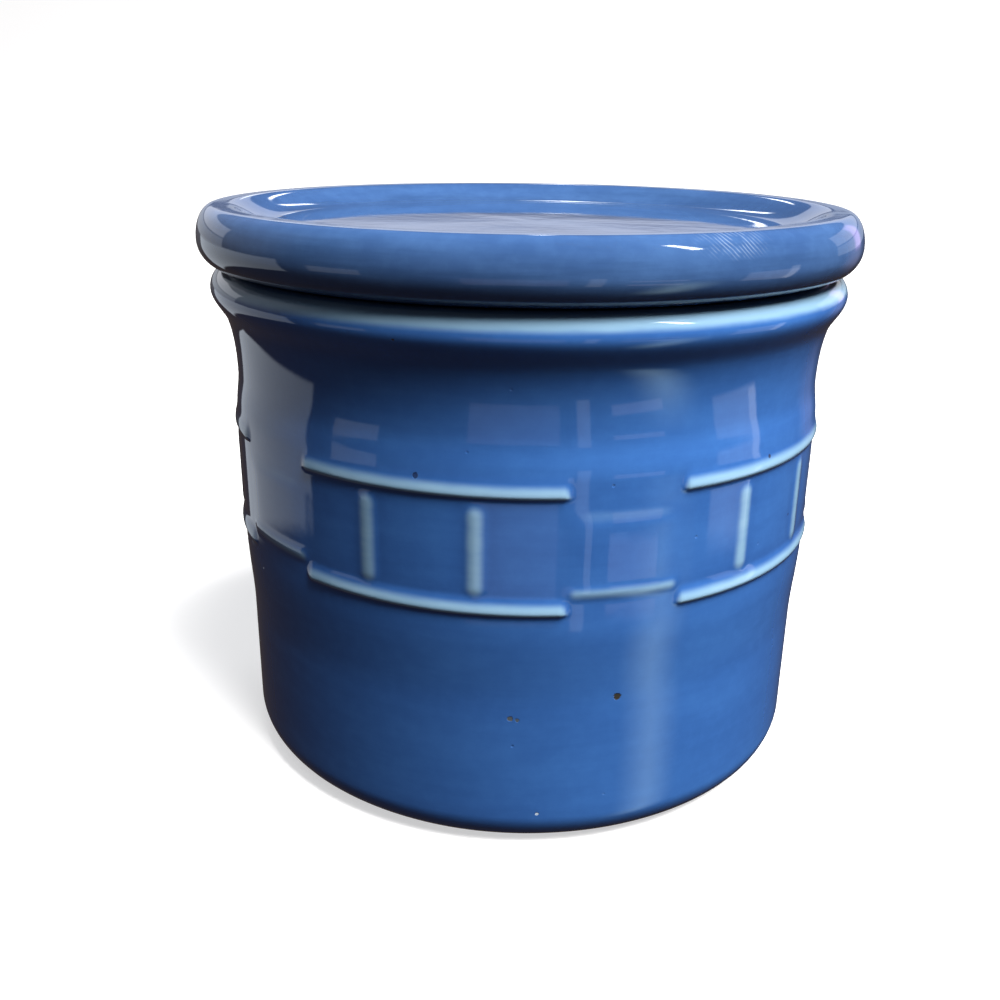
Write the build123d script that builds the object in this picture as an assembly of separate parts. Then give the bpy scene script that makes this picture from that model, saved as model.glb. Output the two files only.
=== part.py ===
from build123d import *
import math
import os

# A glazed stoneware butter crock with a dished lift-off lid that also serves as a coaster.
# Millimetres. +Z is up, the origin is the middle of the foot, on the table. -Y is the front.

# ---- Crock body, outside: radii ----
WALL_R = 51.7  # plain wall below the woven band
BAND_SWELL = 0.7  # the wall behind the band stands out this much more
NECK_SWELL = 0.1
RIM_UNDER_SWELL = 1.2  # where the rim's roll runs out into the neck
RIM_OVERHANG = 3.65  # the rolled rim's widest part beyond the plain wall
RIM_ROUND = 3.4  # radius of the rim's outer shoulder
BASE_CORNER = 6.0  # rounding between wall and foot
BAND_R = WALL_R + BAND_SWELL
NECK_R = WALL_R + NECK_SWELL
RIM_UNDER_R = WALL_R + RIM_UNDER_SWELL
RIM_R = WALL_R + RIM_OVERHANG

# ---- Crock body, outside: heights, from the rim downwards ----
RIM_TOP_Z = 87.1  # flat land of the rim, where the lid sits
RIM_UNDER_Z = RIM_TOP_Z - 8.5
NECK_Z = RIM_TOP_Z - 17.8  # narrowest part of the upper wall
BAND_TOP_Z = RIM_TOP_Z - 24.6
TOP_LINE_Z = RIM_TOP_Z - 26.3
BAND_WIDE = 18.3  # between the middles of the two raised lines
BOTTOM_LINE_Z = TOP_LINE_Z - BAND_WIDE
BAND_BOTTOM_Z = BOTTOM_LINE_Z - 2.5
WALL_TOP_Z = BAND_BOTTOM_Z - 4.9

# ---- Crock body, inside and foot ----
WALL = 5.2  # wall thickness at the band
FLOOR = 6.5  # height of the inside floor
INNER_CORNER = 8.0  # cove between the inside floor and wall
MOUTH_ROUND = 1.8  # rounding of the rim's inner edge
FOOT_RING = 3.0  # width of the unglazed ring that the crock stands on
FOOT_RECESS = 1.6  # depth of the recess inside that ring
BORE_R = BAND_R - WALL

# ---- Woven band: raised lines, uprights and the splints that pass behind ----
PANELS = 5
PANEL_SPAN = 52.8  # degrees, before the drift below
PANEL_START = -43.9
HAND_DRIFT = 0.080  # the hand-cut pattern is this much tighter in front and looser behind
LINE_R = 1.0  # section radius of the raised lines
LINE_PROUD = 0.9  # how far a line stands out of the wall
UPRIGHTS = (15.6, 35.8)  # degrees from the panel's start, before the drift
UPRIGHT_R = 1.0
UPRIGHT_PROUD = 0.6
UPRIGHT_GAP = 1.9  # plain wall between an upright's end and the edge of the raised line
SPLINT_PROUD = 0.4
SPLINT_INSET = (3.2, 2.5)  # below the top line's middle, and above the bottom line's
SPLINT_BEVEL = 1.2
SPLINT_ROOT = 1.0  # how far a splint's section reaches into the wall
SPLINT_MARGIN = 2.0  # degrees between a splint's end and the panel beside it

# ---- Lid, outwards from the crock's rim and upwards from the seat ----
LID_OVERHANG = 1.65
LID_R = RIM_R + LID_OVERHANG
LID_WIDE_H = 4.6  # height of the widest part
LID_RIM_H = 10.0  # height of the rim's crest
LID_EDGE_LIFT = 0.4  # the outer edge stands this far above the seat
LID_TOP_ROUND = 3.1  # width of the round from the crest to the side
LID_UNDER_ROUND = 3.7  # width of the round from the side to the lower edge
LID_CREST_IN = LID_R - 5.6  # inner end of the rim's crest
WELL_WALL_R = LID_R - 9.7  # where the rim's inner slope meets the cove of the dish
WELL_R = LID_R - 14.0  # flat floor of the dish
WELL_DEPTH = 3.2
WELL_COVE = 0.4  # share of the depth that the cove takes
LID_THICK = 5.2  # slab under the dish
RING_CLEAR = 1.2  # play between the locating ring and the mouth
RING_WIDE = 4.0
RING_DEPTH = 4.0  # how far the ring reaches below the seat
RING_ROUND = 1.2


def drifted(degrees):
    """Angle on the crock for an angle on the evenly spaced pattern."""
    return degrees - math.degrees(HAND_DRIFT) * math.sin(math.radians(degrees))


def round_about(face):
    """Turns a face in the XZ plane right round the Z axis."""
    return revolve(face, axis=Axis.Z, revolution_arc=360)


def arc_about(face, start, end):
    """Turns a face that lies at the front of the crock from one angle to another."""
    turned = revolve(face, axis=Axis.Z, revolution_arc=end - start)
    return turned.rotate(Axis.Z, start - 90)


def at_angle(solid, degrees):
    """Moves a solid made on the +X side to an angle measured from the front."""
    return solid.rotate(Axis.Z, degrees - 90)


def crock_outside():
    """The shell's outer form, filled in, from the foot to the rim's land."""
    land_r = RIM_R - RIM_ROUND
    foot_r = WALL_R - BASE_CORNER
    with BuildPart() as body:
        with BuildSketch(Plane.XZ):
            with BuildLine():
                Line((0, 0), (foot_r, 0))
                RadiusArc((foot_r, 0), (WALL_R, BASE_CORNER), -BASE_CORNER)
                Line((WALL_R, BASE_CORNER), (WALL_R, WALL_TOP_Z))
                Spline(
                    (WALL_R, WALL_TOP_Z),
                    (BAND_R, BAND_BOTTOM_Z),
                    tangents=((0, 1), (0, 1)),
                )
                Line((BAND_R, BAND_BOTTOM_Z), (BAND_R, BAND_TOP_Z))
                Spline((BAND_R, BAND_TOP_Z), (NECK_R, NECK_Z), tangents=((0, 1), (0, 1)))
                Spline(
                    (NECK_R, NECK_Z),
                    (RIM_UNDER_R, RIM_UNDER_Z),
                    (RIM_R, RIM_TOP_Z - RIM_ROUND),
                    tangents=((0, 1), (0, 1)),
                )
                RadiusArc((RIM_R, RIM_TOP_Z - RIM_ROUND), (land_r, RIM_TOP_Z), -RIM_ROUND)
                Line((land_r, RIM_TOP_Z), (0, RIM_TOP_Z))
                Line((0, RIM_TOP_Z), (0, 0))
            make_face()
        revolve(axis=Axis.Z)
    return body.part


def crock_hollow():
    """The space inside the crock, open upwards through the mouth."""
    mouth_r = BORE_R + MOUTH_ROUND
    floor_r = BORE_R - INNER_CORNER
    above = RIM_TOP_Z + 1.0
    with BuildPart() as hollow:
        with BuildSketch(Plane.XZ):
            with BuildLine():
                Line((0, FLOOR), (floor_r, FLOOR))
                RadiusArc((floor_r, FLOOR), (BORE_R, FLOOR + INNER_CORNER), -INNER_CORNER)
                Line((BORE_R, FLOOR + INNER_CORNER), (BORE_R, RIM_TOP_Z - MOUTH_ROUND))
                RadiusArc((BORE_R, RIM_TOP_Z - MOUTH_ROUND), (mouth_r, RIM_TOP_Z), MOUTH_ROUND)
                Line((mouth_r, RIM_TOP_Z), (mouth_r, above))
                Line((mouth_r, above), (0, above))
                Line((0, above), (0, FLOOR))
            make_face()
        revolve(axis=Axis.Z)
    return hollow.part


def foot_recess():
    """The shallow recess inside the foot ring."""
    ring_in = WALL_R - BASE_CORNER - FOOT_RING
    return Cone(ring_in, ring_in - FOOT_RECESS, FOOT_RECESS, align=(Align.CENTER, Align.CENTER, Align.MIN))


def raised_line(z, start, end):
    """One raised line of the band."""
    path_r = BAND_R + LINE_PROUD - LINE_R
    return arc_about(Plane.XZ * Pos(path_r, z) * Circle(LINE_R), start, end)


def upright(angle):
    """One short upright rib between the two raised lines, round at both ends."""
    low = BOTTOM_LINE_Z + LINE_R + UPRIGHT_GAP
    high = TOP_LINE_Z - LINE_R - UPRIGHT_GAP
    shoulder = high - low - 2 * UPRIGHT_R
    axis_r = BAND_R + UPRIGHT_PROUD - UPRIGHT_R
    with BuildPart() as rib:
        with BuildSketch(Plane.XZ):
            with BuildLine():
                RadiusArc((0, -UPRIGHT_R), (UPRIGHT_R, 0), -UPRIGHT_R)
                Line((UPRIGHT_R, 0), (UPRIGHT_R, shoulder))
                RadiusArc((UPRIGHT_R, shoulder), (0, shoulder + UPRIGHT_R), -UPRIGHT_R)
                Line((0, shoulder + UPRIGHT_R), (0, -UPRIGHT_R))
            make_face()
        revolve(axis=Axis.Z)
    return at_angle(Pos(axis_r, 0, low + UPRIGHT_R) * rib.part, angle)


def splint(start, end):
    """The low strip that shows between two panels, bevelled along its top and bottom."""
    root_r = BAND_R - SPLINT_ROOT
    face_r = BAND_R + SPLINT_PROUD
    top = TOP_LINE_Z - SPLINT_INSET[0]
    bottom = BOTTOM_LINE_Z + SPLINT_INSET[1]
    root_out = SPLINT_BEVEL * SPLINT_ROOT / SPLINT_PROUD
    section = Plane.XZ * Polygon(
        (root_r, bottom - root_out),
        (face_r, bottom + SPLINT_BEVEL),
        (face_r, top - SPLINT_BEVEL),
        (root_r, top + root_out),
        align=None,
    )
    return arc_about(section, start, end)


def band_relief():
    """Every raised feature of the woven band, in a list."""
    pitch = 360 / PANELS
    features = []
    for number in range(PANELS):
        start = PANEL_START + number * pitch
        end = start + PANEL_SPAN
        for z in (TOP_LINE_Z, BOTTOM_LINE_Z):
            features.append(raised_line(z, drifted(start), drifted(end)))
        for offset in UPRIGHTS:
            features.append(upright(drifted(start + offset)))
        gap_end = start + pitch
        features.append(splint(drifted(end) + SPLINT_MARGIN, drifted(gap_end) - SPLINT_MARGIN))
    return features


def crock():
    """The whole pot: shell, woven band, hollow and foot."""
    body = crock_outside()
    body = body.fuse(*band_relief())
    body = body - crock_hollow()
    return body - foot_recess()


def lid():
    """The dished lid with its thick rim and the ring that drops into the mouth."""
    seat = RIM_TOP_Z
    wide = (LID_R, seat + LID_WIDE_H)
    crest_out = (LID_R - LID_TOP_ROUND, seat + LID_RIM_H)
    edge = (LID_R - LID_UNDER_ROUND, seat + LID_EDGE_LIFT)
    land_out = RIM_R - RIM_ROUND
    well_z = seat + LID_RIM_H - WELL_DEPTH
    under_z = well_z - LID_THICK
    ring_out = BORE_R - RING_CLEAR
    ring_in = ring_out - RING_WIDE
    ring_z = seat - RING_DEPTH
    with BuildPart() as body:
        with BuildSketch(Plane.XZ):
            with BuildLine():
                Line((0, under_z), (ring_in, under_z))
                Line((ring_in, under_z), (ring_in, ring_z + RING_ROUND))
                RadiusArc((ring_in, ring_z + RING_ROUND), (ring_in + RING_ROUND, ring_z), -RING_ROUND)
                Line((ring_in + RING_ROUND, ring_z), (ring_out - RING_ROUND, ring_z))
                RadiusArc((ring_out - RING_ROUND, ring_z), (ring_out, ring_z + RING_ROUND), -RING_ROUND)
                Line((ring_out, ring_z + RING_ROUND), (ring_out, seat))
                Line((ring_out, seat), (land_out, seat))
                Line((land_out, seat), edge)
                EllipticalCenterArc(
                    (edge[0], wide[1]), LID_UNDER_ROUND, wide[1] - edge[1], start_angle=270, arc_size=90
                )
                EllipticalCenterArc(
                    (crest_out[0], wide[1]), LID_TOP_ROUND, crest_out[1] - wide[1], start_angle=0, arc_size=90
                )
                Line(crest_out, (LID_CREST_IN, seat + LID_RIM_H))
                Spline(
                    (LID_CREST_IN, seat + LID_RIM_H),
                    (WELL_WALL_R, well_z + WELL_DEPTH * WELL_COVE),
                    (WELL_R, well_z),
                    tangents=((-1, 0), (-1, 0)),
                )
                Line((WELL_R, well_z), (0, well_z))
                Line((0, well_z), (0, under_z))
            make_face()
        revolve(axis=Axis.Z)
    return body.part


def write(node, solid):
    """Writes one node's STEP file and prints its volume."""
    solid.label = node
    export_step(solid, f"parts/{node}.step")
    print(node, "volume", round(solid.volume), "valid", solid.is_valid)


os.makedirs("parts", exist_ok=True)
write("crock", crock())
write("lid", lid())
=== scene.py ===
"""A glazed stoneware butter crock with a dished coaster lid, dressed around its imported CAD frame.

Lengths are metres and angles degrees unless a name says otherwise. +Z is up, the middle of the foot is the
origin, and -Y is the front. An angle round the crock is measured from the front, towards +X.
"""

from __future__ import annotations

import logging
import math
from dataclasses import dataclass, field
from enum import Enum

import bpy
from mathutils import Matrix, Vector


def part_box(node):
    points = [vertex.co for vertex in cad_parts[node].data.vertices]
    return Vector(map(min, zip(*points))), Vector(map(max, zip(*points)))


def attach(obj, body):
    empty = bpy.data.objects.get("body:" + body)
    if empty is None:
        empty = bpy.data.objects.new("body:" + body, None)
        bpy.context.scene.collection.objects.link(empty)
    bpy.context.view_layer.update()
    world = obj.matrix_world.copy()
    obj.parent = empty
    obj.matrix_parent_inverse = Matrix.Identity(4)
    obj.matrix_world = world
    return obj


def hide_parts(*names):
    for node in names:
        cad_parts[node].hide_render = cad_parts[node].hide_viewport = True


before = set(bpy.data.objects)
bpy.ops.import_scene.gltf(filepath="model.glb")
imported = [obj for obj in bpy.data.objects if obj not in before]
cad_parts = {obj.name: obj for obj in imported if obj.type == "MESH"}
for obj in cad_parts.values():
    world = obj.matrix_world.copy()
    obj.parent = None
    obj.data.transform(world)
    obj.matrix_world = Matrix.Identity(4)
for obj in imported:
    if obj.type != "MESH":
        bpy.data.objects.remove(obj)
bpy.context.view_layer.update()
LOG = logging.getLogger("butter_crock")
MM = 0.001

NUMBER = "NodeSocketFloat"
WHOLE = "NodeSocketInt"
COLOUR = "NodeSocketColor"
PLACE = "NodeSocketVector"
MESH = "NodeSocketGeometry"

Socket = bpy.types.NodeSocket
Value = Socket | float | int | tuple
Colour = tuple[float, float, float]
Pair = tuple[float, float]
Point = tuple[float, float, float]


# ---------------------------------------------------------------- small tools


class Mask(Enum):
    """Point attributes of a turned form. RELIEF carries the weave, and the rest are read by the glaze."""

    RELIEF = "relief"
    # THIN is glaze broken thin over edges, and on the rim's top partly a painted highlight.
    THIN = "thin_glaze_and_highlight"
    POOLED = "pooled_glaze"
    BARE = "bare_clay"


class Wiring:
    """Adds nodes to one tree, whatever its kind, and wires them as it goes."""

    def __init__(self, tree: bpy.types.NodeTree, prefix: str) -> None:
        """Keeps the tree and the node names' prefix, such as GeometryNode or ShaderNode."""
        self.tree = tree
        self.prefix = prefix

    def feed(self, socket: Socket, value: Value) -> None:
        """Links a socket's source, or sets its constant.

        Args:
            socket: An input socket.
            value: Another socket, or the constant itself.
        """
        if isinstance(value, bpy.types.NodeSocket):
            self.tree.links.new(value, socket)
        elif socket.type == "RGBA" and len(value) == 3:
            socket.default_value = (*value, 1.0)
        else:
            socket.default_value = value

    def add(self, kind: str, inputs: dict[str | int, Value] | None = None,
            **settings: object) -> bpy.types.Node:
        """Adds one node.

        Args:
            kind: The node's type without its prefix, or in full for a node that both kinds of tree share.
            inputs: What each input gets, by name or by number.
            settings: Attributes of the node, such as operation.

        Returns:
            The new node.
        """
        shared = kind.startswith(("ShaderNode", "Function", "NodeGroup"))
        node = self.tree.nodes.new(kind if shared else self.prefix + kind)
        for name, value in settings.items():
            setattr(node, name, value)
        for key, value in (inputs or {}).items():
            self.feed(node.inputs[key], value)
        return node

    def math(self, operation: str, *values: Value, clamp: bool = False) -> Socket:
        """One Math node's result of one to three values, kept between 0 and 1 if clamp is set."""
        inputs = dict(enumerate(values))
        return self.add("ShaderNodeMath", inputs, operation=operation, use_clamp=clamp).outputs[0]

    def plus(self, a: Value, b: Value) -> Socket:
        """The sum of two numbers."""
        return self.math("ADD", a, b)

    def minus(self, a: Value, b: Value) -> Socket:
        """The first number without the second."""
        return self.math("SUBTRACT", a, b)

    def times(self, a: Value, b: Value) -> Socket:
        """The product of two numbers."""
        return self.math("MULTIPLY", a, b)

    def vector(self, operation: str, a: Value, b: Value | None = None, give: str = "Vector") -> Socket:
        """One Vector Math node's result of one or two vectors: its Vector or its Value."""
        inputs = {0: a} if b is None else {0: a, 1: b}
        return self.add("ShaderNodeVectorMath", inputs, operation=operation).outputs[give]

    def ramp(self, value: Value, low: Value, high: Value, start: Value = 0.0, end: Value = 1.0) -> Socket:
        """Value carried smoothly from low..high to start..end, and held outside."""
        inputs = {"Value": value, "From Min": low, "From Max": high, "To Min": start, "To Max": end}
        return self.add("ShaderNodeMapRange", inputs, interpolation_type="SMOOTHSTEP").outputs[0]

    def length(self, a: Value, b: Value) -> Socket:
        """The length of the sides a and b taken square to each other."""
        return self.math("SQRT", self.math("MULTIPLY_ADD", b, b, self.times(a, a)))

    def mix(self, share: Value, a: Value, b: Value) -> Socket:
        """Colour a turning into colour b as share goes from 0 to 1."""
        return self.add("ShaderNodeMix", {0: share, 6: a, 7: b}, data_type="RGBA").outputs[2]

    def blend(self, share: Value, a: Value, b: Value) -> Socket:
        """Number a turning into number b as share goes from 0 to 1."""
        return self.add("ShaderNodeMix", {0: share, 2: a, 3: b}, data_type="FLOAT").outputs[0]

    def noise(self, place: Value, scale: float, detail: float = 2.0, roughness: float = 0.5) -> Socket:
        """Smooth noise between 0 and 1, with scale swells to a metre and detail finer octaves on top."""
        inputs = {"Vector": place, "Scale": scale, "Detail": detail, "Roughness": roughness}
        return self.add("ShaderNodeTexNoise", inputs).outputs[0]


def new_group(name: str, kind: str, inputs: dict[str, tuple],
              outputs: dict[str, str]) -> tuple[Wiring, dict, dict]:
    """Makes a node group with named sockets.

    Args:
        name: The group's name.
        kind: GeometryNodeTree or ShaderNodeTree.
        inputs: Socket type and default value by name. A default of None is left alone.
        outputs: Socket type by name.

    Returns:
        The wiring of the new tree, its input sockets by name, and its result sockets by name.
    """
    tree = bpy.data.node_groups.new(name, kind)
    for label, (socket_type, default) in inputs.items():
        made = tree.interface.new_socket(label, in_out="INPUT", socket_type=socket_type)
        if default is not None:
            made.default_value = default
    for label, socket_type in outputs.items():
        tree.interface.new_socket(label, in_out="OUTPUT", socket_type=socket_type)
    prefix = "GeometryNode" if kind == "GeometryNodeTree" else "ShaderNode"
    wires = Wiring(tree, prefix)
    source = wires.add("NodeGroupInput")
    target = wires.add("NodeGroupOutput")
    return wires, {s.name: s for s in source.outputs}, {s.name: s for s in target.inputs}


def blank_nodes(owner: bpy.types.Material | bpy.types.World) -> Wiring:
    """Switches a material or a world to nodes and empties its tree.

    Args:
        owner: The material or world.

    Returns:
        The wiring of its tree.
    """
    owner.use_nodes = True
    owner.node_tree.nodes.clear()
    return Wiring(owner.node_tree, "ShaderNode")


def put_in_scene(name: str, data: bpy.types.ID) -> bpy.types.Object:
    """Makes an object at the origin and links it to the scene.

    Args:
        name: The object's name.
        data: Its mesh, light or camera.

    Returns:
        The new object.
    """
    made = bpy.data.objects.new(name, data)
    bpy.context.scene.collection.objects.link(made)
    return made


def on_wall(angle: float, radius: float, height: float) -> Point:
    """The point at an angle round the crock, at a radius and a height."""
    turn = math.radians(angle)
    return (radius * math.sin(turn), -radius * math.cos(turn), height)


# ---------------------------------------------------------------- turned forms


@dataclass
class Outline:
    """The half section of a turned form: points of radius and height, each with its masks."""

    points: list[Vector] = field(default_factory=list)
    marks: list[dict[Mask, float]] = field(default_factory=list)

    def add(self, radius: float, height: float, **marks: float) -> None:
        """Adds one point, unless it repeats the last one.

        Args:
            radius: Distance from the axis.
            height: Height above the table.
            marks: Mask values by the mask's lower-case name. A mask that isn't named is 0.
        """
        point = Vector((radius, 0.0, height))
        if self.points and (point - self.points[-1]).length < 1e-6:
            return
        self.points.append(point)
        self.marks.append({mask: marks.get(mask.name.lower(), 0.0) for mask in Mask})

    def line(self, end: Pair, step: float, **marks: float) -> None:
        """A straight run.

        Args:
            end: Its last point, as radius and height.
            step: About how far apart its points are.
            marks: As in add().
        """
        start = self.points[-1]
        run = Vector((end[0], 0.0, end[1])) - start
        count = max(1, round(run.length / step))
        for number in range(1, count + 1):
            point = start + run * (number / count)
            self.add(point.x, point.z, **marks)

    def round(self, centre: Pair, size: Pair, turn: Pair, count: int, **marks: float) -> None:
        """Part of an ellipse.

        Args:
            centre: Its middle, as radius and height.
            size: Its half width and half height.
            turn: The angles where it starts and ends, from the outward radius towards up.
            count: The number of steps.
            marks: As in add().
        """
        for number in range(count + 1):
            angle = math.radians(turn[0] + (turn[1] - turn[0]) * number / count)
            radius = centre[0] + size[0] * math.cos(angle)
            height = centre[1] + size[1] * math.sin(angle)
            self.add(radius, height, **marks)

    def sweep(self, end: Pair, leave: Pair, arrive: Pair, count: int) -> None:
        """A smooth unmasked curve to end.

        Args:
            end: The last point, as radius and height.
            leave: The slope at the start, with its pull in metres.
            arrive: The slope at the end, with its pull in metres.
            count: The number of steps.
        """
        a = self.points[-1]
        d = Vector((end[0], 0.0, end[1]))
        pull_a, pull_d = Vector((leave[0], 0.0, leave[1])), Vector((arrive[0], 0.0, arrive[1]))
        for number in range(1, count + 1):
            t = number / count
            point = (a * (2 * t**3 - 3 * t**2 + 1) + pull_a * (t**3 - 2 * t**2 + t)
                     + d * (3 * t**2 - 2 * t**3) + pull_d * (t**3 - t**2))
            self.add(point.x, point.z)

    def mesh(self, name: str) -> bpy.types.Mesh:
        """Makes the outline a chain of edges whose points carry the masks.

        Args:
            name: The mesh's name.

        Returns:
            The mesh.
        """
        made = bpy.data.meshes.new(name)
        links = [(i, i + 1) for i in range(len(self.points) - 1)]
        made.from_pydata([tuple(p) for p in self.points], links, [])
        for mask in Mask:
            values = made.attributes.new(mask.value, "FLOAT", "POINT")
            values.data.foreach_set("value", [mark[mask] for mark in self.marks])
        return made


@dataclass(frozen=True)
class WovenBand:
    """The moulded band of basket weave: panels between two raised lines, with a low splint between panels."""

    panels: int = 5
    panel_start: float = -43.9
    panel_span: float = 52.8
    hand_drift: float = 0.080
    radius: float = 52.4 * MM
    line_top: float = 60.8 * MM
    line_bottom: float = 42.5 * MM
    line_proud: float = 0.50 * MM
    line_above: float = 2.80 * MM
    line_below: float = 1.00 * MM
    upright_first: float = 15.6
    upright_second: float = 35.8
    upright_proud: float = 0.24 * MM
    upright_half: float = 2.50 * MM
    upright_middle: float = 52.0 * MM
    upright_reach: float = 5.6 * MM
    splint_proud: float = 0.16 * MM
    splint_top: float = 57.6 * MM
    splint_bottom: float = 45.0 * MM
    splint_lip: float = 0.12 * MM
    end_share: float = 1.8
    splint_fade: Pair = (-2.4 * MM, 3.4 * MM)
    splint_rise: float = 0.9 * MM
    splint_fall: Pair = (-2.0 * MM, 1.2 * MM)
    lip_fade: Pair = (-1.4 * MM, 0.8 * MM)
    lip_up: float = 0.5 * MM
    lip_half: float = 1.7 * MM
    shoulder_half: float = 2.2 * MM
    upright_wear: float = 0.80
    lip_wear: float = 0.68
    shoulder_wear: float = 0.34
    trough_pool: float = 0.35

    def tree(self) -> bpy.types.NodeTree:
        """Builds the node group of the weave, with named inputs for its sizes.

        Returns:
            The group, which gives the relief and the glaze masks at an angle and a height.
        """
        rad = math.radians
        sizes = {
            "Angle": 0.0, "Height": 0.0, "Panels": float(self.panels), "Panel Start": rad(self.panel_start),
            "Panel Span": rad(self.panel_span), "Band Radius": self.radius, "Top Line": self.line_top,
            "Bottom Line": self.line_bottom, "Line Proud": self.line_proud, "Line Above": self.line_above,
            "Line Below": self.line_below,
            "First Upright": rad(self.upright_first), "Second Upright": rad(self.upright_second),
            "Upright Proud": self.upright_proud, "Upright Half Width": self.upright_half,
            "Upright Middle": self.upright_middle, "Upright Reach": self.upright_reach,
            "Splint Proud": self.splint_proud, "Splint Top": self.splint_top,
            "Splint Bottom": self.splint_bottom, "Splint Lip": self.splint_lip,
        }
        outputs = {"Relief": NUMBER, "Thin": NUMBER, "Pooled": NUMBER}
        inputs = {label: (NUMBER, size) for label, size in sizes.items()}
        w, get, put = new_group("woven_band", "GeometryNodeTree", inputs, outputs)
        pitch = w.math("DIVIDE", math.tau, get["Panels"])
        half_span = w.times(get["Panel Span"], 0.5)
        centred = w.minus(w.minus(get["Angle"], get["Panel Start"]), half_span)
        half_pitch = w.times(pitch, 0.5)
        swing = w.math("WRAP", centred, half_pitch, w.times(half_pitch, -1.0))
        x = w.times(swing, get["Band Radius"])
        aside = w.math("ABSOLUTE", x)
        z = get["Height"]

        line_end = w.times(get["Line Below"], self.end_share)
        half_line = w.minus(w.times(half_span, get["Band Radius"]), line_end)
        past_end = w.math("DIVIDE", w.math("MAXIMUM", w.minus(aside, half_line), 0.0), line_end)
        reaches = []
        for label in ("Top Line", "Bottom Line"):
            over = w.minus(z, get[label])
            above = w.math("DIVIDE", w.math("MAXIMUM", over, 0.0), get["Line Above"])
            below = w.math("DIVIDE", w.math("MINIMUM", over, 0.0), get["Line Below"])
            reaches.append(w.length(past_end, w.plus(above, below)))
        to_line = w.math("MINIMUM", *reaches)
        line = w.ramp(to_line, 0.0, 1.0, 1.0, 0.0)

        off_middle = w.math("ABSOLUTE", w.minus(z, get["Upright Middle"]))
        past_tip = w.math("MAXIMUM", w.minus(off_middle, get["Upright Reach"]), 0.0)
        reaches = []
        for label in ("First Upright", "Second Upright"):
            place = w.times(w.minus(get[label], half_span), get["Band Radius"])
            reaches.append(w.length(w.minus(x, place), past_tip))
        to_upright = w.math("DIVIDE", w.math("MINIMUM", *reaches), get["Upright Half Width"])
        upright = w.ramp(to_upright, 0.0, 1.0, 1.0, 0.0)

        half_gap = w.times(w.minus(half_pitch, half_span), get["Band Radius"])
        into_gap = w.plus(w.minus(aside, w.times(half_pitch, get["Band Radius"])), half_gap)
        window = w.ramp(into_gap, *self.splint_fade)
        lip_window = w.ramp(into_gap, *self.lip_fade)
        low, high = get["Splint Bottom"], get["Splint Top"]
        rise = w.ramp(w.minus(z, low), -self.splint_rise, self.splint_rise)
        fall = w.ramp(w.minus(z, high), *self.splint_fall, 1.0, 0.0)
        splint = w.times(w.times(rise, fall), window)
        off_lip = w.math("ABSOLUTE", w.minus(z, w.plus(low, self.lip_up)))
        lip = w.times(w.ramp(off_lip, 0.0, self.lip_half, 1.0, 0.0), lip_window)
        off_shoulder = w.math("ABSOLUTE", w.minus(z, high))
        shoulder = w.times(w.ramp(off_shoulder, 0.0, self.shoulder_half, 1.0, 0.0), window)

        height = w.times(line, get["Line Proud"])
        for part, size in ((upright, "Upright Proud"), (splint, "Splint Proud"), (lip, "Splint Lip")):
            height = w.math("MULTIPLY_ADD", part, get[size], height)
        w.feed(put["Relief"], height)
        worn = w.ramp(to_line, 0.05, 0.92, 1.0, 0.0)
        thin = w.math("MAXIMUM", worn, w.ramp(to_upright, 0.05, 1.0, self.upright_wear, 0.0))
        thin = w.math("MAXIMUM", thin, w.times(lip, self.lip_wear))
        w.feed(put["Thin"], w.math("MAXIMUM", thin, w.times(shoulder, self.shoulder_wear)))
        trough = w.ramp(w.math("MINIMUM", to_line, to_upright), 0.9, 1.9, self.trough_pool, 0.0)
        ridge = w.math("MAXIMUM", line, upright)
        w.feed(put["Pooled"], w.times(trough, w.minus(1.0, ridge)))
        return w.tree


@dataclass(frozen=True)
class HandWobble:
    """How far a hand-finished wall strays inwards from its true form."""

    swell: float = 0.14 * MM
    swells_per_metre: float = 26.0
    ripple: float = 0.018 * MM
    ripples_per_metre: float = 150.0


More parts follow.
